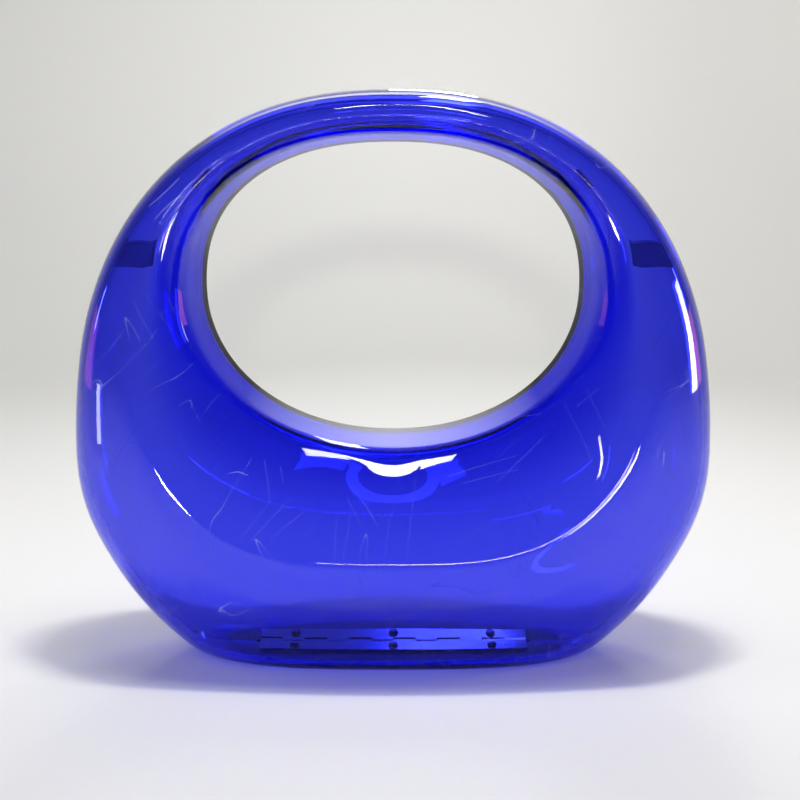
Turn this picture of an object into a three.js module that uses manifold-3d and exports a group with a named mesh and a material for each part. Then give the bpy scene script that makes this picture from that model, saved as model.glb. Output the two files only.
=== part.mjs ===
import * as THREE from "three";
import { mergeVertices } from "three/addons/utils/BufferGeometryUtils.js";
import Module from "manifold-3d";

// A round rigid handbag of clear cobalt-blue acrylic, in millimetres, +Z up, front towards -Y.
// Two mirrored half shells meet at the plane y = 0. They turn on a hinge in the flat base, and
// dark magnetic catches hold them shut. The ring round the hand hole is the handle.

const wasm = await Module();
wasm.setup();

// Outline of the closed bag, seen from the front
const BAG_WIDTH = 238.5;
const BAG_HEIGHT = 213;
const WIDEST_HEIGHT = 81;
const LOWER_SWEEP = 106; // from the widest line down to where the round would end without the base
const UPPER_SQUARENESS = 2.3;
const LOWER_SQUARENESS = 1.9;
const SQUARENESS_BLEND = 0.4; // sine above and below the widest line over which the two halves blend
const BASE_BLEND = 5; // the base rounds off over this height above and below its plane

// Hand hole, whose upper edge is the underside of the handle
const HANDLE_HEIGHT = 19;
const HOLE_WIDTH = 138.4;
const HOLE_HEIGHT = 107.6;
const HOLE_WIDEST_HEIGHT = 142;
const HOLE_UPPER_SQUARENESS = 2.29;
const HOLE_LOWER_SQUARENESS = 2.09;

// Depth of the closed bag, front to back
const BODY_DEPTH = 104;
const HANDLE_DEPTH = 41;
const BODY_RIM_DEPTH = 40; // between the front and the back rim of the hole, at its lower edge
const HANDLE_RIM_DEPTH = 33;
const RIM_SETBACK = 4.2; // the rim's net corner lies this far outside the hole's edge
const SIDE_RIM_EXTRA = 1.6;
const BODY_TAPER = 1.7; // power by which the depth falls from the body to the handle

// Walls and clearances
const WALL = 3;
const FIT_GAP = 0.3;

// Hinge in the base
const HINGE_LENGTH = 102;
const KNUCKLE_COUNT = 12;
const BARREL_RADIUS = 2;
const PIN_RADIUS = 0.9;
const LEAF_WIDTH = 12;
const LEAF_THICKNESS = 1;
const SLOT_CLEARANCE = 0.6; // between the barrel and the edge of each shell's base

// Screws through the leaves
const SCREW_END_MARGIN = 13.5; // from the hinge's end to its outer screws
const SCREW_OFFSET = 7.2; // from the hinge line
const SCREW_RADIUS = 0.9;
const SCREW_HEAD_RADIUS = 1.9;
const SCREW_CROWN_RADIUS = 1.4;
const SCREW_HEAD_HEIGHT = 0.8;
const SCREW_BITE = 2; // depth of the shank in the base

// Catches on the seam
const SIDE_CATCH_HEIGHT = 153; // of its middle, above the base
const SIDE_CATCH_TALL = 9;
const SIDE_CATCH_REACH = 15; // inwards from the outer edge's inner face
const SIDE_CATCH_DEPTH = 5;
const MAGNET_RADIUS = 2.8;
const MAGNET_DEPTH = 2.2;
const SHOULDER_ANGLE = 29; // degrees above the hole's widest line
const SHOULDER_CATCH_LENGTH = 9;
const SHOULDER_CATCH_WIDTH = 4;
const SHOULDER_CATCH_DEPTH = 5;
const BOSS_MARGIN = 0.6; // the clear boss is wider than its catch by this on each side

// Fineness of the facets
const STATIONS = 64;
const BASE_CROWDING = 0.4; // share by which the stations crowd together towards the base
const HALVINGS = 48; // of an interval in which a point of the outline is searched
const SECTION_STEPS = [0, 2, 2.8, 3.6, 4.6, 5.8, 7, 8, 8.8, 9.5, 10.2, 11.1, 12];
const BARREL_SIDES = 12;
const SHANK_SIDES = 8;
const MAGNET_SIDES = 12;

const HALF_SEAM = FIT_GAP / 2;
const UPPER_SWEEP = BAG_HEIGHT - WIDEST_HEIGHT;
const HOLE_TOP = BAG_HEIGHT - HANDLE_HEIGHT;
const HOLE_BOTTOM = HOLE_TOP - HOLE_HEIGHT;
const LEAF_BOTTOM = WALL + FIT_GAP;
const LEAF_TOP = LEAF_BOTTOM + LEAF_THICKNESS;
const AXIS_HEIGHT = LEAF_TOP - BARREL_RADIUS;
const SLOT_HALF_WIDTH = BARREL_RADIUS + SLOT_CLEARANCE;
const KNUCKLE_PITCH = HINGE_LENGTH / KNUCKLE_COUNT;
const SCREW_SPACING = HINGE_LENGTH / 2 - SCREW_END_MARGIN;

// Net of the section in a plane through the hole's centre, from the rim outwards.
// ring: the shares at the top of the handle. body: the shares at the bottom of the body.
// across: share of the way from the rim to the outer edge. rise: share of the way from the rim's
// depth to the full depth. fall: share of the full depth. square: how much deeper that row is near
// the ends of the base, which makes the base's edge straighter. The smooth section follows the net.
const FACE_NET = [
  { place: "rim front", ringAcross: 0.09, ringRise: 0.54, bodyAcross: 0.034, bodyRise: 0.15 },
  { place: "upper face", ringAcross: 0.203, ringRise: 0.854, bodyAcross: 0.116, bodyRise: 0.5 },
  { place: "before crest", ringAcross: 0.323, ringRise: 0.963, bodyAcross: 0.2165, bodyRise: 0.859 },
  { place: "crest", ringAcross: 0.444, ringRise: 1.0185, bodyAcross: 0.349, bodyRise: 1.0705 },
  { place: "after crest", ringAcross: 0.564, ringRise: 0.963, bodyAcross: 0.489, bodyRise: 0.859 },
];
const ROUND_NET = [
  { place: "low face", ringAcross: 0.744, ringFall: 0.888, bodyAcross: 0.666, bodyFall: 0.667, square: 0.06 },
  { place: "round", ringAcross: 0.917, ringFall: 0.659, bodyAcross: 0.8415, bodyFall: 0.489, square: 0.17 },
  { place: "outer edge", ringAcross: 1, ringFall: 0.341, bodyAcross: 1, bodyFall: 0.185, square: 0.28 },
  { place: "seam", ringAcross: 1, ringFall: 0, bodyAcross: 1, bodyFall: 0, square: 0 },
];
const DRAFT_SHARES = [0, 0.38, 0.74, 1];
const CORNER_SPREAD = 0.1; // share by which the crest moves outwards in the body's lower corners
const SPREAD_PEAK = 27 / 4; // brings share * (1 - share)^2 to 1 where it is largest
const BASE_ENDS_PEAK = 0.0819; // largest value of cos^2 sin^8, reached towards the ends of the base
const MITRE_LIMIT = 0.5; // least sine of half a corner's angle, so that an inset corner stays near

const { lerp, smoothstep, degToRad } = THREE.MathUtils;

// Distance from a round outline's middle to its edge, in the direction (cosine, sine)
function roundRadius(cosine, sine, outline) {
  const upper = smoothstep(sine, -SQUARENESS_BLEND, SQUARENESS_BLEND);
  const squareness = lerp(outline.lowerSquareness, outline.upperSquareness, upper);
  const sweep = lerp(outline.lowerSweep, outline.upperSweep, upper);
  const x = Math.abs(cosine) / outline.halfWidth;
  const z = Math.abs(sine) / sweep;
  return (x ** squareness + z ** squareness) ** (-1 / squareness);
}

const OUTER = {
  halfWidth: BAG_WIDTH / 2,
  upperSweep: UPPER_SWEEP,
  lowerSweep: LOWER_SWEEP,
  upperSquareness: UPPER_SQUARENESS,
  lowerSquareness: LOWER_SQUARENESS,
};
const HOLE = {
  halfWidth: HOLE_WIDTH / 2,
  upperSweep: HOLE_TOP - HOLE_WIDEST_HEIGHT,
  lowerSweep: HOLE_WIDEST_HEIGHT - HOLE_BOTTOM,
  upperSquareness: HOLE_UPPER_SQUARENESS,
  lowerSquareness: HOLE_LOWER_SQUARENESS,
};

// Largest value that still passes a test, found by halving the interval
function lastInside(isInside) {
  let near = 0;
  let far = BAG_WIDTH + BAG_HEIGHT;
  for (let i = 0; i < HALVINGS; i += 1) {
    const middle = (near + far) / 2;
    if (isInside(middle)) near = middle;
    else far = middle;
  }
  return (near + far) / 2;
}

function insideOutline(x, height) {
  const reach = Math.hypot(x, height - WIDEST_HEIGHT);
  return reach < roundRadius(x / reach, (height - WIDEST_HEIGHT) / reach, OUTER);
}

// Distance from the hole's middle to the outer outline in the direction (cosine, sine)
function outerReach(cosine, sine) {
  return lastInside((reach) => insideOutline(reach * cosine, HOLE_WIDEST_HEIGHT + reach * sine));
}

// A share of the way across, moved outwards in its middle, with both ends kept
function spread(share, most) {
  return share + most * SPREAD_PEAK * share * (1 - share) ** 2;
}

// Net of one section: points [across from the hole's edge, depth from the seam plane]
function sectionNet(angle) {
  const sine = Math.sin(angle);
  const body = ((1 - sine) / 2) ** BODY_TAPER;
  const baseEnds = (Math.cos(angle) ** 2 * Math.max(-sine, 0) ** 8) / BASE_ENDS_PEAK;
  const holeReach = roundRadius(Math.cos(angle), sine, HOLE);
  const length = outerReach(Math.cos(angle), sine) - holeReach;
  const depth = lerp(HANDLE_DEPTH, BODY_DEPTH, body) / 2;
  const rimDepth = lerp(HANDLE_RIM_DEPTH, BODY_RIM_DEPTH, body) / 2;
  const rimAcross = RIM_SETBACK + SIDE_RIM_EXTRA * Math.cos(angle) ** 2;
  const corner = sine < 0 ? CORNER_SPREAD * Math.sin(2 * angle) ** 2 : 0;
  const net = DRAFT_SHARES.map((share) => [share * rimAcross, share * rimDepth]);
  for (const row of FACE_NET) {
    const across = spread(lerp(row.ringAcross, row.bodyAcross, body), corner);
    const rise = lerp(row.ringRise, row.bodyRise, body);
    net.push([lerp(rimAcross, length, across), lerp(rimDepth, depth, rise)]);
  }
  for (const row of ROUND_NET) {
    const across = spread(lerp(row.ringAcross, row.bodyAcross, body), corner);
    const fall = lerp(row.ringFall, row.bodyFall, body);
    net.push([lerp(rimAcross, length, across), depth * fall * (1 + row.square * baseEnds)]);
  }
  return { net, holeReach };
}

// The same net moved inwards by a wall, each point along the mitre of its two edges
function insetNet(net, inset) {
  const [endAcross] = net[net.length - 1];
  return net.map(([across, depth], i) => {
    const [backAcross, backDepth] = i > 0 ? net[i - 1] : [-net[1][0], -net[1][1]];
    const [nextAcross, nextDepth] = i < net.length - 1 ? net[i + 1] : [endAcross, -net[i - 1][1]];
    const into = new THREE.Vector2(across - backAcross, depth - backDepth).normalize();
    const out = new THREE.Vector2(nextAcross - across, nextDepth - depth).normalize();
    const mitre = new THREE.Vector2(into.y + out.y, -into.x - out.x).normalize();
    const reach = inset / Math.max(mitre.x * into.y - mitre.y * into.x, MITRE_LIMIT);
    if (i === 0) return [inset / into.y, 0];
    return [across + mitre.x * reach, i < net.length - 1 ? depth + mitre.y * reach : 0];
  });
}

// Smooth section through the net: a uniform cubic B-spline, mirrored in the seam plane at its end
function sectionPoint(net, step) {
  const last = net.length - 1;
  const pick = (i) => {
    if (i < 0) return [2 * net[0][0] - net[-i][0], -net[-i][1]];
    if (i > last) return [net[2 * last - i][0], -net[2 * last - i][1]];
    return net[i];
  };
  const start = Math.min(Math.floor(step), last - 1);
  const t = step - start;
  const weights = [(1 - t) ** 3, 3 * t ** 3 - 6 * t ** 2 + 4, -3 * t ** 3 + 3 * t ** 2 + 3 * t + 1, t ** 3];
  const point = [0, 0];
  weights.forEach((weight, i) => {
    const [across, depth] = pick(start - 1 + i);
    point[0] += (weight * across) / 6;
    point[1] += (weight * depth) / 6;
  });
  return point;
}

// Height pressed flat below a floor, with a round blend over BASE_BLEND above and below it
function flattened(height, floor) {
  const above = height - floor;
  if (above <= -BASE_BLEND) return floor;
  if (above >= BASE_BLEND) return height;
  return floor + (above + BASE_BLEND) ** 2 / (4 * BASE_BLEND);
}

// Solid from a closed three.js geometry
function solid(geometry, matrix = new THREE.Matrix4()) {
  const bare = geometry.clone().applyMatrix4(matrix);
  bare.deleteAttribute("normal");
  bare.deleteAttribute("uv");
  const merged = mergeVertices(bare, 1e-4);
  return new wasm.Manifold(
    new wasm.Mesh({
      numProp: 3,
      vertProperties: new Float32Array(merged.attributes.position.array),
      triVerts: new Uint32Array(merged.index.array),
    }),
  );
}

// Whole round body of the bag, pressed in by an inset: 0 is the outside, WALL is the hollow
function roundBody(inset) {
  const steps = SECTION_STEPS.length;
  const loop = 2 * (steps - 1);
  const positions = [];
  for (let station = 0; station < STATIONS; station += 1) {
    const turn = (station / STATIONS) * 2 * Math.PI;
    const angle = turn - BASE_CROWDING * Math.cos(turn);
    const { net, holeReach } = sectionNet(angle);
    const inner = inset > 0 ? insetNet(net, inset) : net;
    for (let k = 0; k < loop; k += 1) {
      const front = k < steps;
      const [across, depth] = sectionPoint(inner, SECTION_STEPS[front ? k : loop - k]);
      const reach = holeReach + across;
      const height = HOLE_WIDEST_HEIGHT + reach * Math.sin(angle);
      positions.push(reach * Math.cos(angle), front ? -depth : depth, flattened(height, inset));
    }
  }
  const triangles = [];
  for (let station = 0; station < STATIONS; station += 1) {
    const next = (station + 1) % STATIONS;
    for (let k = 0; k < loop; k += 1) {
      const along = (k + 1) % loop;
      const a = station * loop + k;
      const b = next * loop + k;
      const c = next * loop + along;
      const d = station * loop + along;
      triangles.push(a, c, b, a, d, c);
    }
  }
  const geometry = new THREE.BufferGeometry();
  geometry.setAttribute("position", new THREE.Float32BufferAttribute(positions, 3));
  geometry.setIndex(triangles);
  return solid(geometry);
}

// Box between two corners
function box(low, high) {
  const size = high.map((value, i) => value - low[i]);
  const middle = high.map((value, i) => (value + low[i]) / 2);
  return solid(new THREE.BoxGeometry(...size), new THREE.Matrix4().makeTranslation(...middle));
}

// Upright cylinder from one height to another
function post(x, y, bottom, top, radius, sides, topRadius = radius) {
  const geometry = new THREE.CylinderGeometry(topRadius, radius, top - bottom, sides);
  geometry.rotateX(Math.PI / 2);
  return solid(geometry, new THREE.Matrix4().makeTranslation(x, y, (bottom + top) / 2));
}

// Cylinder along X on the hinge line
function barrel(fromX, toX, radius, sides) {
  const geometry = new THREE.CylinderGeometry(radius, radius, toX - fromX, sides);
  geometry.rotateZ(Math.PI / 2);
  return solid(geometry, new THREE.Matrix4().makeTranslation((fromX + toX) / 2, 0, AXIS_HEIGHT));
}

// Cylinder along Y, used for the magnets
function disc(x, z, fromY, toY, radius, sides) {
  const geometry = new THREE.CylinderGeometry(radius, radius, Math.abs(toY - fromY), sides);
  return solid(geometry, new THREE.Matrix4().makeTranslation(x, (fromY + toY) / 2, z));
}

function mesh(name, manifold, material) {
  const { numProp, vertProperties, triVerts } = manifold.getMesh();
  const positions = new Float32Array((vertProperties.length / numProp) * 3);
  for (let i = 0; i < positions.length / 3; i += 1) {
    positions.set(vertProperties.subarray(i * numProp, i * numProp + 3), i * 3);
  }
  const geometry = new THREE.BufferGeometry();
  geometry.setAttribute("position", new THREE.BufferAttribute(positions, 3));
  geometry.setIndex(new THREE.BufferAttribute(new Uint32Array(triVerts), 1));
  geometry.computeVertexNormals();
  const piece = new THREE.Mesh(geometry, material);
  piece.name = name;
  return piece;
}

function finish(color, roughness, metalness, opacity = 1) {
  return new THREE.MeshStandardMaterial({ color, roughness, metalness, opacity, transparent: opacity < 1 });
}

const FAR = 2 * (BAG_WIDTH + BAG_HEIGHT);
const outside = roundBody(0);
const hollow = roundBody(WALL);
const roomInside = roundBody(WALL + FIT_GAP);
const insideWall = roundBody(WALL / 2);

// The half of space on one side of the seam: side -1 is the front, +1 the back
function halfSpace(side, fromSeam = HALF_SEAM) {
  const [low, high] = side < 0 ? [-FAR, -fromSeam] : [fromSeam, FAR];
  return box([-FAR, low, -FAR], [FAR, high, FAR]);
}

// Centres of one leaf's screws
function screwPlaces(side) {
  return [-SCREW_SPACING, 0, SCREW_SPACING].map((x) => ({ x, y: side * SCREW_OFFSET }));
}

// Bar along the hole's ring at a shoulder, grown by a margin, between two distances from the seam
function shoulderBar(side, hand, margin, near, far) {
  const angle = hand > 0 ? degToRad(SHOULDER_ANGLE) : Math.PI - degToRad(SHOULDER_ANGLE);
  const edge = roundRadius(Math.cos(angle), Math.sin(angle), HOLE);
  const reach = (edge + outerReach(Math.cos(angle), Math.sin(angle))) / 2;
  const width = SHOULDER_CATCH_WIDTH + 2 * margin;
  const length = SHOULDER_CATCH_LENGTH + 2 * margin;
  const geometry = new THREE.BoxGeometry(width, far - near, length);
  const place = new THREE.Matrix4().makeTranslation(
    reach * Math.cos(angle),
    (side * (near + far)) / 2,
    HOLE_WIDEST_HEIGHT + reach * Math.sin(angle),
  );
  return solid(geometry, place.multiply(new THREE.Matrix4().makeRotationY(-angle)));
}

const CATCH_BACK = HALF_SEAM + SHOULDER_CATCH_DEPTH;

function shell(side) {
  const hingeEnd = HINGE_LENGTH / 2 + FIT_GAP;
  const leafEnd = LEAF_WIDTH + FIT_GAP;
  const slot = box([-hingeEnd, -SLOT_HALF_WIDTH, -WALL], [hingeEnd, SLOT_HALF_WIDTH, LEAF_TOP]);
  const seat = box([-hingeEnd, -leafEnd, WALL], [hingeEnd, leafEnd, LEAF_TOP + WALL]);
  const rebate = box(
    [-BAG_WIDTH / 2, -SLOT_HALF_WIDTH, -WALL],
    [BAG_WIDTH / 2, SLOT_HALF_WIDTH, AXIS_HEIGHT],
  );
  let body = outside.subtract(hollow);
  for (const hand of [-1, 1]) {
    const boss = shoulderBar(side, hand, BOSS_MARGIN, CATCH_BACK + FIT_GAP, BODY_DEPTH);
    body = body.add(boss.intersect(insideWall));
  }
  body = body.intersect(halfSpace(side)).subtract(slot).subtract(seat).subtract(rebate);
  for (const { x, y } of screwPlaces(side)) {
    const floor = WALL - SCREW_BITE - FIT_GAP;
    body = body.subtract(post(x, y, floor, WALL + FIT_GAP, SCREW_RADIUS + FIT_GAP, SHANK_SIDES));
  }
  return body;
}

function hingeLeaf(side) {
  const own = side < 0 ? 0 : 1;
  const edge = BARREL_RADIUS + FIT_GAP;
  const root = edge + LEAF_THICKNESS;
  const [near, far] = side < 0 ? [-LEAF_WIDTH, -edge] : [edge, LEAF_WIDTH];
  let leaf = box([-HINGE_LENGTH / 2, near, LEAF_BOTTOM], [HINGE_LENGTH / 2, far, LEAF_TOP]);
  for (let i = own; i < KNUCKLE_COUNT; i += 2) {
    const from = -HINGE_LENGTH / 2 + i * KNUCKLE_PITCH + FIT_GAP / 2;
    const to = from + KNUCKLE_PITCH - FIT_GAP;
    const tongue = side < 0 ? [-root, 0] : [0, root];
    leaf = leaf.add(box([from, tongue[0], LEAF_BOTTOM], [to, tongue[1], LEAF_TOP]));
    leaf = leaf.add(barrel(from, to, BARREL_RADIUS, BARREL_SIDES));
  }
  leaf = leaf.subtract(barrel(-HINGE_LENGTH, HINGE_LENGTH, PIN_RADIUS + FIT_GAP, SHANK_SIDES));
  for (const { x, y } of screwPlaces(side)) {
    leaf = leaf.subtract(post(x, y, 0, 2 * LEAF_TOP, SCREW_RADIUS + FIT_GAP, SHANK_SIDES));
  }
  return leaf;
}

function screw({ x, y }) {
  const seat = LEAF_TOP + FIT_GAP;
  const shank = post(x, y, WALL - SCREW_BITE, seat + SCREW_HEAD_HEIGHT / 2, SCREW_RADIUS, SHANK_SIDES);
  const top = seat + SCREW_HEAD_HEIGHT;
  const head = post(x, y, seat, top, SCREW_HEAD_RADIUS, BARREL_SIDES, SCREW_CROWN_RADIUS);
  return shank.add(head);
}

// Half the bag's width at the height of the side catches
const SIDE_EDGE = lastInside((x) => insideOutline(x, SIDE_CATCH_HEIGHT));

function sideMagnet(side, hand, grow) {
  const x = hand * (SIDE_EDGE - WALL - SIDE_CATCH_REACH / 2);
  const seam = HALF_SEAM - grow;
  const depth = HALF_SEAM + MAGNET_DEPTH + grow;
  return disc(x, SIDE_CATCH_HEIGHT, side * seam, side * depth, MAGNET_RADIUS + grow, MAGNET_SIDES);
}

function sideCatch(side, hand) {
  const inner = SIDE_EDGE - WALL - SIDE_CATCH_REACH;
  const [low, high] = hand < 0 ? [-FAR, -inner] : [inner, FAR];
  const back = HALF_SEAM + SIDE_CATCH_DEPTH;
  const [near, far] = side < 0 ? [-back, -HALF_SEAM] : [HALF_SEAM, back];
  const block = box(
    [low, near, SIDE_CATCH_HEIGHT - SIDE_CATCH_TALL / 2],
    [high, far, SIDE_CATCH_HEIGHT + SIDE_CATCH_TALL / 2],
  );
  return block.intersect(roomInside).subtract(sideMagnet(side, hand, FIT_GAP));
}

const acrylic = finish(0x1b18c8, 0.04, 0, 0.5);
const steel = finish(0x8f93a3, 0.3, 0.9);
const darkSteel = finish(0x2c2c33, 0.35, 0.7);
const darkCatch = finish(0x101018, 0.45, 0);

const bag = new THREE.Group();
const SIDES = { front: -1, back: 1 };
const HANDS = { left: -1, right: 1 };

for (const [face, side] of Object.entries(SIDES)) {
  bag.add(mesh(`${face}_shell`, shell(side), acrylic));
  bag.add(mesh(`${face}_hinge_leaf`, hingeLeaf(side), steel));
  screwPlaces(side).forEach((place, i) => {
    bag.add(mesh(`${face}_screw_${["left", "middle", "right"][i]}`, screw(place), darkSteel));
  });
  for (const [flank, hand] of Object.entries(HANDS)) {
    bag.add(mesh(`${face}_${flank}_side_catch`, sideCatch(side, hand), darkCatch));
    bag.add(mesh(`${face}_${flank}_side_magnet`, sideMagnet(side, hand, 0), darkSteel));
    const bar = shoulderBar(side, hand, 0, HALF_SEAM, CATCH_BACK);
    bag.add(mesh(`${face}_${flank}_shoulder_catch`, bar, darkCatch));
  }
}
bag.add(mesh("hinge_pin", barrel(-HINGE_LENGTH / 2, HINGE_LENGTH / 2, PIN_RADIUS, SHANK_SIDES), steel));

export default bag;
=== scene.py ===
"""Looks of a round handbag of clear cobalt-blue acrylic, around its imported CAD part. Metres, +Z up."""

import bpy
import numpy as np
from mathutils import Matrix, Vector


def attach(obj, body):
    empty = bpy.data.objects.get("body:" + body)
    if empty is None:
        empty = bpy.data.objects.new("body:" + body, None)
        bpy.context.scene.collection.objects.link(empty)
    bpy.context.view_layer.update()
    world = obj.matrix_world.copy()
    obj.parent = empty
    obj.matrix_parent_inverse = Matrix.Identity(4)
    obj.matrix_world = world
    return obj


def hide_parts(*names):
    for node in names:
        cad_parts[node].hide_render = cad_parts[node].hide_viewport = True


MM = 0.001

# Outline of the closed bag seen from the front, as the CAD part has it
BAG_WIDTH = 0.23838
BAG_HEIGHT = 0.21299
WIDEST_HEIGHT = 0.081
LOWER_SWEEP = 0.106
OUTER_SQUARENESS = (1.9, 2.3)  # below and above the widest line
BASE_BLEND = 0.005
HANDLE_HEIGHT = 0.019
HOLE_WIDTH = 0.1384
HOLE_HEIGHT = 0.1076
HOLE_WIDEST_HEIGHT = 0.142
HOLE_SQUARENESS = (2.09, 2.29)
HOLE_TOP = BAG_HEIGHT - HANDLE_HEIGHT
HOLE_BOTTOM = HOLE_TOP - HOLE_HEIGHT

# Depths, handle first and body second
FULL_DEPTH = (0.041, 0.104)
RIM_DEPTH = (0.033, 0.040)
RIM_SETBACK = 0.0042
SIDE_RIM_EXTRA = 0.0016
BODY_TAPER = 1.7

# Walls, seam and hinge
WALL = 0.003
RIM_EXTRA_WALL = 0.0013  # the wall is thicker where it turns round the hole
RIM_ROWS = (4.0, 7.0)  # rows of the net over which that extra ends
FIT_GAP = 0.0003
HALF_SEAM = FIT_GAP / 2
HINGE_LENGTH = 0.102
KNUCKLE_COUNT = 12
BARREL_RADIUS = 0.002
PIN_RADIUS = 0.0009
LEAF_WIDTH = 0.012
LEAF_THICKNESS = 0.001
LEAF_BOTTOM = WALL + FIT_GAP
LEAF_TOP = LEAF_BOTTOM + LEAF_THICKNESS
AXIS_HEIGHT = LEAF_TOP - BARREL_RADIUS
SLOT_HALF_WIDTH = BARREL_RADIUS + 0.0006
SCREW_SPACING = 0.0375
SCREW_OFFSET = 0.0072
SCREW_HEAD_RADIUS = 0.0019
SCREW_HEAD_HEIGHT = 0.0008

# Net of the section, from the rim to the seam, at the handle and at the body.
# Each row: across at the handle, rise or fall there, across at the body, rise or fall there, squaring
FACE_NET = (
    (0.09, 0.54, 0.034, 0.15),
    (0.203, 0.854, 0.116, 0.5),
    (0.323, 0.963, 0.2165, 0.859),
    (0.444, 1.0185, 0.349, 1.0705),
    (0.564, 0.963, 0.489, 0.859),
)
ROUND_NET = (
    (0.744, 0.888, 0.666, 0.667, 0.06),
    (0.917, 0.659, 0.8415, 0.489, 0.17),
    (1.0, 0.341, 1.0, 0.185, 0.28),
    (1.0, 0.0, 1.0, 0.0, 0.0),
)
DRAFT_SHARES = (0.0, 0.38, 0.74, 1.0)
BASE_ENDS_PEAK = 0.0819
CORNER_SPREAD = 0.1  # share by which the crest moves outwards in the lower corners
SPANS = len(DRAFT_SHARES) + len(FACE_NET) + len(ROUND_NET) - 1

# Hairline scratches in the acrylic: their lean from upright, offset in the noise, and share left out
SCRATCHES = ((0.15, 0.1, 0.63), (-0.5, 0.6, 0.66), (1.3, 1.1, 0.66), (0.8, 1.7, 0.68))
SCRATCH_LUMP = (0.008, 0.03, 0.25)
PATCH_LUMP = (0.03, 0.03, 0.03)
SCRATCH_HALF_WIDTH = 0.0022
SCRATCH_PALENESS = 0.13

# Paper sweep: between these distances behind the bag its tone is painted light and shade, dipping a touch about half
# a metre behind the bag, then paler up the upright backdrop
PAPER_PAINTED_LIGHT_FROM = 0.2
PAPER_PAINTED_LIGHT_TO = 1.05

# Lights
LAMP_REACH = 0.95
LAMP_SPREAD = np.radians(60.0)
MIDDLE_HEIGHT = 0.09

# Fineness of the shells
STATIONS = 336
BASE_CROWDING = 0.35
SECTION_ROWS = 112


def mix(a, b, t):
    return a + (b - a) * t


def smooth_step(x, low, high):
    """3t^2 - 2t^3 with t = (x - low) / (high - low), held between 0 and 1."""
    t = np.clip((x - low) / (high - low), 0.0, 1.0)
    return t * t * (3.0 - 2.0 * t)


def round_radius(cosine, sine, half_width, sweeps, squareness):
    """Radius of (|cos|/a)^q + (|sin|/b)^q = 1, with b and q blended from below to above the middle."""
    upper = smooth_step(sine, -0.4, 0.4)
    q = mix(squareness[0], squareness[1], upper)
    sweep = mix(sweeps[0], sweeps[1], upper)
    return ((np.abs(cosine) / half_width) ** q + (np.abs(sine) / sweep) ** q) ** (-1.0 / q)


def hole_reach(angle):
    """Distance from the hole's middle to its edge in the seam plane."""
    sweeps = (HOLE_WIDEST_HEIGHT - HOLE_BOTTOM, HOLE_TOP - HOLE_WIDEST_HEIGHT)
    return round_radius(np.cos(angle), np.sin(angle), HOLE_WIDTH / 2, sweeps, HOLE_SQUARENESS)


def outer_reach(angle):
    """Distance from the hole's middle to the outer outline, by halving the interval."""
    cosine, sine = np.cos(angle), np.sin(angle)
    near = np.zeros_like(angle)
    far = np.full_like(angle, BAG_WIDTH + BAG_HEIGHT)
    for _ in range(48):
        middle = (near + far) / 2
        x = middle * cosine
        z = HOLE_WIDEST_HEIGHT - WIDEST_HEIGHT + middle * sine
        reach = np.hypot(x, z)
        sweeps = (LOWER_SWEEP, BAG_HEIGHT - WIDEST_HEIGHT)
        edge = round_radius(x / reach, z / reach, BAG_WIDTH / 2, sweeps, OUTER_SQUARENESS)
        near = np.where(reach < edge, middle, near)
        far = np.where(reach < edge, far, middle)
    return (near + far) / 2


def spread(share, most):
    """share + most * 27/4 * share * (1 - share)^2, which moves the middle outwards and keeps the ends."""
    return share + most * 6.75 * share * (1.0 - share) ** 2


def section_net(angle):
    """Net points (row, station, across and depth) of the sections at these angles."""
    sine = np.sin(angle)
    body = ((1.0 - sine) / 2.0) ** BODY_TAPER
    ends = np.cos(angle) ** 2 * np.clip(-sine, 0.0, 1.0) ** 8 / BASE_ENDS_PEAK
    length = outer_reach(angle) - hole_reach(angle)
    depth = mix(FULL_DEPTH[0], FULL_DEPTH[1], body) / 2
    rim_depth = mix(RIM_DEPTH[0], RIM_DEPTH[1], body) / 2
    rim_across = RIM_SETBACK + SIDE_RIM_EXTRA * np.cos(angle) ** 2
    corner = CORNER_SPREAD * np.where(sine < 0, np.sin(2 * angle) ** 2, 0.0)
    rows = [(share * rim_across, share * rim_depth) for share in DRAFT_SHARES]
    for ring_across, ring_rise, body_across, body_rise in FACE_NET:
        across = mix(rim_across, length, spread(mix(ring_across, body_across, body), corner))
        rows.append((across, mix(rim_depth, depth, mix(ring_rise, body_rise, body))))
    for ring_across, ring_fall, body_across, body_fall, square in ROUND_NET:
        across = mix(rim_across, length, spread(mix(ring_across, body_across, body), corner))
        rows.append((across, depth * mix(ring_fall, body_fall, body) * (1.0 + square * ends)))
    return np.stack([np.stack(row, axis=-1) for row in rows])


def inset_net(net, inset):
    """The net moved inwards by a wall, each point along the mitre of its two edges."""
    mirror = np.array([1.0, -1.0])
    padded = np.concatenate([-net[1:2], net, net[-2:-1] * mirror])
    edges = np.diff(padded, axis=0)
    edges /= np.linalg.norm(edges, axis=-1, keepdims=True)
    into, out = edges[:-1], edges[1:]
    mitre = np.stack([into[..., 1] + out[..., 1], -into[..., 0] - out[..., 0]], axis=-1)
    mitre /= np.linalg.norm(mitre, axis=-1, keepdims=True)
    turn = np.maximum(mitre[..., 0] * into[..., 1] - mitre[..., 1] * into[..., 0], 0.5)
    moved = net + mitre * (inset / turn)[..., None]
    moved[0] = np.stack([inset / into[0, :, 1], np.zeros(net.shape[1])], axis=-1)
    moved[-1, :, 1] = 0.0
    return moved


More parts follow.
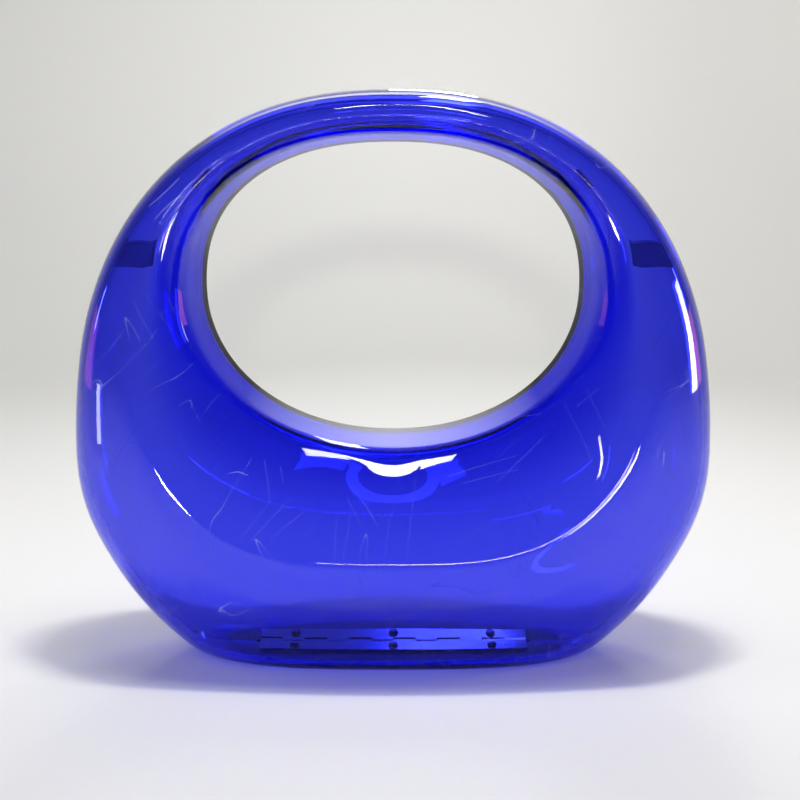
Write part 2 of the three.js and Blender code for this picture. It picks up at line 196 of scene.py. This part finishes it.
def section_points(net, step):
    """Uniform cubic B-spline over each station's net at step, an array of one value or row a station."""
    mirror = np.array([1.0, -1.0])
    padded = np.concatenate([2.0 * net[:1] - net[1:2], net, net[-2:-1] * mirror])
    padded[0, :, 1] = -net[1, :, 1]
    start = np.minimum(np.floor(step).astype(int), SPANS - 1)
    t = step - start
    station = np.broadcast_to(np.arange(net.shape[1]), step.shape)
    weights = ((1 - t) ** 3, 3 * t**3 - 6 * t**2 + 4, -3 * t**3 + 3 * t**2 + 3 * t + 1, t**3)
    return sum(w[..., None] * padded[start + i, station] for i, w in enumerate(weights)) / 6.0


def flattened(height, floor):
    """Height pressed flat below a floor, with a parabola over BASE_BLEND on both sides of it."""
    above = height - floor
    blend = floor + (above + BASE_BLEND) ** 2 / (4 * BASE_BLEND)
    return np.where(above <= -BASE_BLEND, floor, np.where(above >= BASE_BLEND, height, blend))


def step_at_depth(net, depth, low, high):
    """Step between low and high at which each station's section has this depth, by halving."""
    rising = section_points(net, np.full(net.shape[1], low))[:, 1] < depth
    near = np.full(net.shape[1], low)
    far = np.full(net.shape[1], high)
    for _ in range(40):
        middle = (near + far) / 2
        before = (section_points(net, middle)[:, 1] < depth) == rising
        near = np.where(before, middle, near)
        far = np.where(before, far, middle)
    return (near + far) / 2


def shell_surface(angle, inset):
    """Grid (row, station, xyz) of one face of the front shell, trimmed at the seam and at the hinge."""
    net = section_net(angle)
    if inset > 0:
        rim = smooth_step(np.arange(len(net)), *RIM_ROWS)[:, None, None]
        net = mix(inset_net(net, inset + RIM_EXTRA_WALL), inset_net(net, inset), rim)
    hole = hole_reach(angle)
    seam = hole + net[-1, :, 0]
    seam_x = seam * np.cos(angle)
    seam_z = flattened(HOLE_WIDEST_HEIGHT + seam * np.sin(angle), inset)
    if inset > 0:
        past_hinge = smooth_step(np.abs(seam_x), HINGE_LENGTH / 2, HINGE_LENGTH / 2 + 2 * FIT_GAP)
        relief = np.where(seam_z < WALL + BASE_BLEND, 1.0 - past_hinge, 0.0)
    else:
        relief = 1.0 - smooth_step(seam_z, AXIS_HEIGHT - 0.0006, AXIS_HEIGHT + 0.0006)
    trim = mix(HALF_SEAM, SLOT_HALF_WIDTH, relief)
    first = step_at_depth(net, np.full(angle.shape, HALF_SEAM), 0.0, 2.0)
    last = step_at_depth(net, trim, 8.0, float(SPANS))
    share = np.linspace(0.0, 1.0, SECTION_ROWS)[:, None]
    points = section_points(net, mix(first, last, share))
    reach = hole + points[..., 0]
    x = reach * np.cos(angle)
    z = flattened(HOLE_WIDEST_HEIGHT + reach * np.sin(angle), inset)
    return np.stack([x, -points[..., 1], z], axis=-1)


def grid_quads(rows, columns, first=0, flip=False):
    """Quads between neighbouring rows of a grid that closes on itself along its columns."""
    row, column = np.meshgrid(np.arange(rows - 1), np.arange(columns), indexing="ij")
    beside = (column + 1) % columns
    quads = np.stack(
        [row * columns + column, (row + 1) * columns + column, (row + 1) * columns + beside, row * columns + beside],
        axis=-1,
    ).reshape(-1, 4) + first
    return quads[:, ::-1] if flip else quads


def mesh_object(name, vertices, faces, material, sharp_rows=(), columns=0):
    """Smooth-shaded object; the loops that start at each of sharp_rows' vertex numbers stay sharp."""
    mesh = bpy.data.meshes.new(name)
    mesh.from_pydata(vertices.reshape(-1, 3), [], faces if isinstance(faces, list) else faces.tolist())
    mesh.update(calc_edges=True)
    mesh.polygons.foreach_set("use_smooth", np.ones(len(mesh.polygons), dtype=bool))
    if len(sharp_rows):
        edges = np.empty(2 * len(mesh.edges), dtype=int)
        mesh.edges.foreach_get("vertices", edges)
        edges = edges.reshape(-1, 2)
        row = edges // columns
        sharp = (row[:, 0] == row[:, 1]) & np.isin(row[:, 0], sharp_rows)
        attribute = mesh.attributes.new("sharp_edge", "BOOLEAN", "EDGE")
        attribute.data.foreach_set("value", sharp)
    mesh.materials.append(material)
    piece = bpy.data.objects.new(name, mesh)
    bpy.context.scene.collection.objects.link(piece)
    return piece


def shell(name, side, material):
    """One half shell: outer face, inner face and the two flat rims at the seam. side -1 is the front."""
    turn = np.arange(STATIONS) / STATIONS * 2 * np.pi
    angle = turn - BASE_CROWDING * np.cos(turn)
    outer = shell_surface(angle, 0.0)
    inner = shell_surface(angle, WALL)[::-1]
    grid = np.concatenate([outer, inner])
    grid[..., 1] *= -side
    rows = len(grid)
    faces = grid_quads(rows, STATIONS, flip=side > 0)
    last = (rows - 1) * STATIONS
    column = np.arange(STATIONS)
    beside = (column + 1) % STATIONS
    closing = np.stack([last + column, column, beside, last + beside], axis=-1)
    faces = np.concatenate([faces, closing[:, ::-1] if side > 0 else closing])
    sharp = (0, SECTION_ROWS - 1, SECTION_ROWS, rows - 1)
    return mesh_object(name, grid, faces, material, sharp, STATIONS)


def new_material(name):
    material = bpy.data.materials.new(name)
    material.use_nodes = True
    return material, material.node_tree.nodes, material.node_tree.links


def noise(nodes, links, place, lump, offset, lean=0.0):
    """Smooth noise of the object's own coordinates, lump metres in size along each axis, leaning from upright."""
    mapping = nodes.new("ShaderNodeMapping")
    mapping.vector_type = "TEXTURE"
    mapping.inputs["Scale"].default_value = lump
    mapping.inputs["Rotation"].default_value = (0.0, lean, 0.0)
    mapping.inputs["Location"].default_value = (offset, offset, offset)
    lumps = nodes.new("ShaderNodeTexNoise")
    lumps.inputs["Scale"].default_value = 1.0
    lumps.inputs["Detail"].default_value = 0.0
    links.new(place.outputs["Object"], mapping.inputs["Vector"])
    links.new(mapping.outputs["Vector"], lumps.inputs["Vector"])
    return lumps.outputs["Fac"]


def math_node(nodes, links, operation, first, second):
    """Math node of one linked value and one plain or linked value."""
    node = nodes.new("ShaderNodeMath")
    node.operation = operation
    links.new(first, node.inputs[0])
    if isinstance(second, float):
        node.inputs[1].default_value = second
    else:
        links.new(second, node.inputs[1])
    return node.outputs["Value"]


def scratches(nodes, links, place):
    """Hairline scratches: long thin contour lines of a stretched noise, kept where a second one is high."""
    marks = None
    for lean, offset, kept in SCRATCHES:
        line = noise(nodes, links, place, SCRATCH_LUMP, offset, lean)
        away = math_node(nodes, links, "ABSOLUTE", math_node(nodes, links, "SUBTRACT", line, 0.5), 0.0)
        thin = math_node(nodes, links, "LESS_THAN", away, SCRATCH_HALF_WIDTH)
        patch = math_node(nodes, links, "GREATER_THAN", noise(nodes, links, place, PATCH_LUMP, offset), kept)
        mark = math_node(nodes, links, "MULTIPLY", thin, patch)
        marks = mark if marks is None else math_node(nodes, links, "MAXIMUM", marks, mark)
    return math_node(nodes, links, "MULTIPLY", marks, SCRATCH_PALENESS)


def acrylic_material():
    """Clear cobalt-blue acrylic: absorption in the wall gives the colour, fine scuffs break the gloss."""
    material, nodes, links = new_material("blue_acrylic")
    shader = nodes["Principled BSDF"]
    shader.inputs["Base Color"].default_value = (1.0, 1.0, 1.0, 1.0)
    shader.inputs["Transmission Weight"].default_value = 1.0
    shader.inputs["IOR"].default_value = 1.49
    place = nodes.new("ShaderNodeTexCoord")
    haze = nodes.new("ShaderNodeTexNoise")
    haze.inputs["Scale"].default_value = 30.0
    haze.inputs["Detail"].default_value = 3.0
    links.new(place.outputs["Object"], haze.inputs["Vector"])
    gloss = nodes.new("ShaderNodeMapRange")
    gloss.inputs["From Min"].default_value = 0.45
    gloss.inputs["From Max"].default_value = 0.75
    gloss.inputs["To Min"].default_value = 0.0
    gloss.inputs["To Max"].default_value = 0.05
    links.new(haze.outputs["Fac"], gloss.inputs["Value"])
    links.new(gloss.outputs["Result"], shader.inputs["Roughness"])
    absorb = nodes.new("ShaderNodeVolumeAbsorption")
    absorb.inputs["Color"].default_value = (0.02, 0.1, 0.96, 1.0)
    absorb.inputs["Density"].default_value = 520.0
    clear = nodes.new("ShaderNodeBsdfTransparent")
    clear.inputs["Color"].default_value = (0.68, 0.68, 0.68, 1.0)
    scratched = nodes.new("ShaderNodeMixShader")
    pale = nodes.new("ShaderNodeBsdfDiffuse")
    pale.inputs["Color"].default_value = (0.75, 0.78, 1.0, 1.0)
    links.new(scratches(nodes, links, place), scratched.inputs["Fac"])
    links.new(shader.outputs["BSDF"], scratched.inputs[1])
    links.new(pale.outputs["BSDF"], scratched.inputs[2])
    path = nodes.new("ShaderNodeLightPath")
    choose = nodes.new("ShaderNodeMixShader")
    links.new(path.outputs["Is Shadow Ray"], choose.inputs["Fac"])
    links.new(scratched.outputs["Shader"], choose.inputs[1])
    links.new(clear.outputs["BSDF"], choose.inputs[2])
    output = nodes["Material Output"]
    links.new(choose.outputs["Shader"], output.inputs["Surface"])
    links.new(absorb.outputs["Volume"], output.inputs["Volume"])
    return material


def metal_material(name, colour, roughness):
    """Brushed metal with fine lengthways streaks."""
    material, nodes, links = new_material(name)
    shader = nodes["Principled BSDF"]
    shader.inputs["Metallic"].default_value = 1.0
    place = nodes.new("ShaderNodeTexCoord")
    stretch = nodes.new("ShaderNodeMapping")
    stretch.inputs["Scale"].default_value = (60.0, 1500.0, 1500.0)
    streaks = nodes.new("ShaderNodeTexNoise")
    streaks.inputs["Scale"].default_value = 1.0
    streaks.inputs["Detail"].default_value = 4.0
    links.new(place.outputs["Object"], stretch.inputs["Vector"])
    links.new(stretch.outputs["Vector"], streaks.inputs["Vector"])
    tone = nodes.new("ShaderNodeValToRGB")
    tone.color_ramp.elements[0].position = 0.3
    tone.color_ramp.elements[0].color = [c * 0.7 for c in colour] + [1.0]
    tone.color_ramp.elements[1].position = 0.7
    tone.color_ramp.elements[1].color = list(colour) + [1.0]
    links.new(streaks.outputs["Fac"], tone.inputs["Fac"])
    links.new(tone.outputs["Color"], shader.inputs["Base Color"])
    rough = nodes.new("ShaderNodeMapRange")
    rough.inputs["To Min"].default_value = roughness * 0.7
    rough.inputs["To Max"].default_value = roughness * 1.4
    links.new(streaks.outputs["Fac"], rough.inputs["Value"])
    links.new(rough.outputs["Result"], shader.inputs["Roughness"])
    return material


def plastic_material(name, colour, roughness):
    """Moulded dark plastic with a faint grain."""
    material, nodes, links = new_material(name)
    shader = nodes["Principled BSDF"]
    place = nodes.new("ShaderNodeTexCoord")
    grain = nodes.new("ShaderNodeTexNoise")
    grain.inputs["Scale"].default_value = 900.0
    grain.inputs["Detail"].default_value = 2.0
    links.new(place.outputs["Object"], grain.inputs["Vector"])
    tone = nodes.new("ShaderNodeValToRGB")
    tone.color_ramp.elements[0].color = [c * 0.8 for c in colour] + [1.0]
    tone.color_ramp.elements[1].color = [c * 1.2 for c in colour] + [1.0]
    links.new(grain.outputs["Fac"], tone.inputs["Fac"])
    links.new(tone.outputs["Color"], shader.inputs["Base Color"])
    shader.inputs["Roughness"].default_value = roughness
    bump = nodes.new("ShaderNodeBump")
    bump.inputs["Strength"].default_value = 0.15
    bump.inputs["Distance"].default_value = 0.0001
    links.new(grain.outputs["Fac"], bump.inputs["Height"])
    links.new(bump.outputs["Normal"], shader.inputs["Normal"])
    return material


def paper_painted_light_material():
    """Matt pale paper with painted light and shade: a touch darker a little way behind the bag and paler up the
    upright backdrop.
    """
    material, nodes, links = new_material("paper")
    shader = nodes["Principled BSDF"]
    shader.inputs["Roughness"].default_value = 0.9
    place = nodes.new("ShaderNodeTexCoord")
    split = nodes.new("ShaderNodeSeparateXYZ")
    links.new(place.outputs["Object"], split.inputs["Vector"])
    rise = nodes.new("ShaderNodeMapRange")
    rise.inputs["From Min"].default_value = PAPER_PAINTED_LIGHT_FROM
    rise.inputs["From Max"].default_value = PAPER_PAINTED_LIGHT_TO
    links.new(split.outputs["Y"], rise.inputs["Value"])
    tone = nodes.new("ShaderNodeValToRGB")
    # painted light and shade: a touch darker about half a metre behind the bag, paler up the upright backdrop
    painted_light_greys = ((0.0, 0.78), (0.35, 0.77), (0.7, 0.8), (1.0, 0.85))
    while len(tone.color_ramp.elements) < len(painted_light_greys):
        tone.color_ramp.elements.new(0.5)
    for stop, (position, grey) in zip(tone.color_ramp.elements, painted_light_greys):
        stop.position = position
        stop.color = (grey, grey, grey, 1.0)
    links.new(rise.outputs["Result"], tone.inputs["Fac"])
    links.new(tone.outputs["Color"], shader.inputs["Base Color"])
    return material


def sweep(material):
    """Floor that curves up into a backdrop: z = 0 in front, a quarter round, then upright."""
    start, radius, height, half = 0.55, 0.5, 2.2, 2.4
    turn = np.linspace(0, np.pi / 2, 33)
    y = np.concatenate([[-2.6], start + radius * np.sin(turn), [start + radius]])
    z = np.concatenate([[0.0], radius * (1 - np.cos(turn)), [height]])
    left = np.stack([np.full_like(y, -half), y, z], axis=-1)
    right = left * np.array([-1.0, 1.0, 1.0])
    vertices = np.stack([left, right], axis=1).reshape(-1, 3)
    faces = [[2 * i, 2 * i + 1, 2 * i + 3, 2 * i + 2] for i in range(len(y) - 1)]
    return mesh_object("sweep", vertices, faces, material)


def lamp(name, place, target, size, power, colour=(1.0, 1.0, 1.0), seen_in_gloss=True):
    """Rectangular soft light at place that faces target."""
    data = bpy.data.lights.new(name, "AREA")
    data.shape = "RECTANGLE"
    data.size, data.size_y = size
    data.energy = power
    data.color = colour
    light = bpy.data.objects.new(name, data)
    light.location = place
    light.rotation_euler = (Vector(target) - Vector(place)).to_track_quat("-Z", "Y").to_euler()
    light.visible_camera = False
    light.visible_glossy = seen_in_gloss
    light.visible_transmission = seen_in_gloss
    bpy.context.scene.collection.objects.link(light)
    return light


def lamp_round_bag(name, round_turn, up_turn, size, power, colour=(1.0, 1.0, 1.0)):
    """Soft light 0.95 m from the bag's middle: round_turn degrees right of the front, up_turn above it."""
    turn, rise = np.radians(round_turn), np.radians(up_turn)
    reach = LAMP_REACH * np.cos(rise)
    place = (reach * np.sin(turn), -reach * np.cos(turn), MIDDLE_HEIGHT + LAMP_REACH * np.sin(rise))
    light = lamp(name, place, (0.0, 0.0, MIDDLE_HEIGHT), size, power, colour)
    light.data.spread = LAMP_SPREAD
    return light


def camera():
    """Camera in front of the bag, a little above and to its right, looking slightly down."""
    data = bpy.data.cameras.new("camera")
    data.sensor_width = 36.0
    data.lens = 87.9
    data.clip_start = 0.05
    view = bpy.data.objects.new("camera", data)
    view.location = (0.0026, -0.72, 0.248)
    view.rotation_euler = (np.radians(90.0 - 11.82), 0.0, 0.0)
    bpy.context.scene.collection.objects.link(view)
    bpy.context.scene.camera = view


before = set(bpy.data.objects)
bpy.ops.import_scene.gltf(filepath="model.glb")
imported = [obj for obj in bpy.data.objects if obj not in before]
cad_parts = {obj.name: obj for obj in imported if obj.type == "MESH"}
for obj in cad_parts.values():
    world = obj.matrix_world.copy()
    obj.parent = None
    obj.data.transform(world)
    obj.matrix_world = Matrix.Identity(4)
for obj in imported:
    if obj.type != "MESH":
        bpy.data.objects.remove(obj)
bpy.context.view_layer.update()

acrylic = acrylic_material()
front = shell("front_shell_fine", -1, acrylic)
back = shell("back_shell_fine", 1, acrylic)
for piece, body, node in ((front, "front_half", "front_shell"), (back, "back_half", "back_shell")):
    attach(piece, body)
    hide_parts(node)

steel = metal_material("hinge_steel", (0.4, 0.42, 0.5), 0.12)
dark_steel = metal_material("dark_screw", (0.12, 0.12, 0.14), 0.35)
dark_plastic = plastic_material("dark_catch", (0.05, 0.05, 0.12), 0.35)
for name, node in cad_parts.items():
    if "leaf" in name or "pin" in name:
        finish = steel
    elif "screw" in name or "magnet" in name:
        finish = dark_steel
    elif "catch" in name:
        finish = dark_plastic
    else:
        continue
    node.data.materials.clear()
    node.data.materials.append(finish)

floor = sweep(paper_painted_light_material())

world = bpy.data.worlds.new("room")
bpy.context.scene.world = world
world.use_nodes = True
world.node_tree.nodes["Background"].inputs["Color"].default_value = (0.85, 0.87, 0.9, 1.0)
world.node_tree.nodes["Background"].inputs["Strength"].default_value = 0.1

# Soft fills for the floor and backdrop, kept out of the gloss
lamp("fill_top", (0.0, 0.2, 1.6), (0.0, 1.05, 0.62), (1.8, 0.3), 4.0, (1.0, 0.99, 0.9), False)
lamp("fill_front", (0.0, -1.4, 0.55), (0.0, 1.05, 0.4), (1.0, 0.3), 0.3, (1.0, 1.0, 1.0), False)
fill_right = lamp("fill_right", (1.0, -0.1, 1.0), (0.5, 0.9, 0.3), (0.6, 0.6), 1.7, (1.0, 0.95, 0.75), False)
fill_left = lamp("fill_left", (-1.0, -0.1, 1.0), (-0.45, 0.6, 0.1), (0.6, 0.6), 1.2, (1.0, 1.0, 0.95), False)
fill_right.data.spread = fill_left.data.spread = np.radians(110.0)
behind = lamp("handle_shadow", (0.0, -1.2, 0.435), (0.0, 0.8, 0.17), (0.04, 0.04), 0.12, (1.0, 1.0, 1.0), False)
behind.data.spread = np.radians(22.0)
lamp("key", (0.036, -0.007, 0.84), (0.036, -0.007, 0.0), (0.11, 0.05), 2.9, (1.0, 1.0, 1.0), False)

# Lights that show in the gloss
lamp("strip_middle", (0.035, -0.03, 1.15), (0.035, -0.03, 0.0), (0.19, 0.04), 0.7)
strip_right = lamp("strip_right", (0.2, -0.15, 1.15), (0.2, -0.15, 0.0), (0.27, 0.085), 1.5)
strip_right.rotation_euler.z = np.radians(-51.0)
strip_left = lamp("strip_left", (-0.105, -0.09, 1.15), (-0.105, -0.09, 0.0), (0.15, 0.065), 0.8)
strip_left.rotation_euler.z = np.radians(42.0)
lamp_round_bag("rim_back", 170, 46, (0.12, 0.2), 0.1)
lamp_round_bag("rim_soft", 180, 36, (1.4, 0.2), 0.28)
lamp_round_bag("hinge_streak", 177.3, 12.8, (0.1, 0.012), 0.16)
lamp_round_bag("right_tall", 104, -2, (0.16, 0.5), 0.45)
lamp("left_low", (-0.4, 0.005, 0.05), (0.0, 0.0, 0.09), (0.018, 0.06), 0.025)
lamp_round_bag("front_left", 330, 28, (0.4, 0.02), 0.07)
lamp_round_bag("front_right", 25, -1, (0.3, 0.05), 0.18)
lamp_round_bag("front_left_low", 335, -3, (0.12, 0.06), 0.3)
lamp_round_bag("front_low", 5, 4, (0.5, 0.02), 0.1, (1.0, 0.85, 0.9))
lamp_round_bag("left_pink", 248, -3, (0.3, 0.3), 0.04, (1.0, 0.25, 0.6))
lamp_round_bag("right_pink", 112, -3, (0.3, 0.3), 0.08, (1.0, 0.25, 0.5))

camera()
scene = bpy.context.scene
scene.cycles.max_bounces = 24
scene.cycles.transmission_bounces = 24
scene.cycles.transparent_max_bounces = 24
scene.cycles.glossy_bounces = 8
scene.view_settings.view_transform = "Standard"
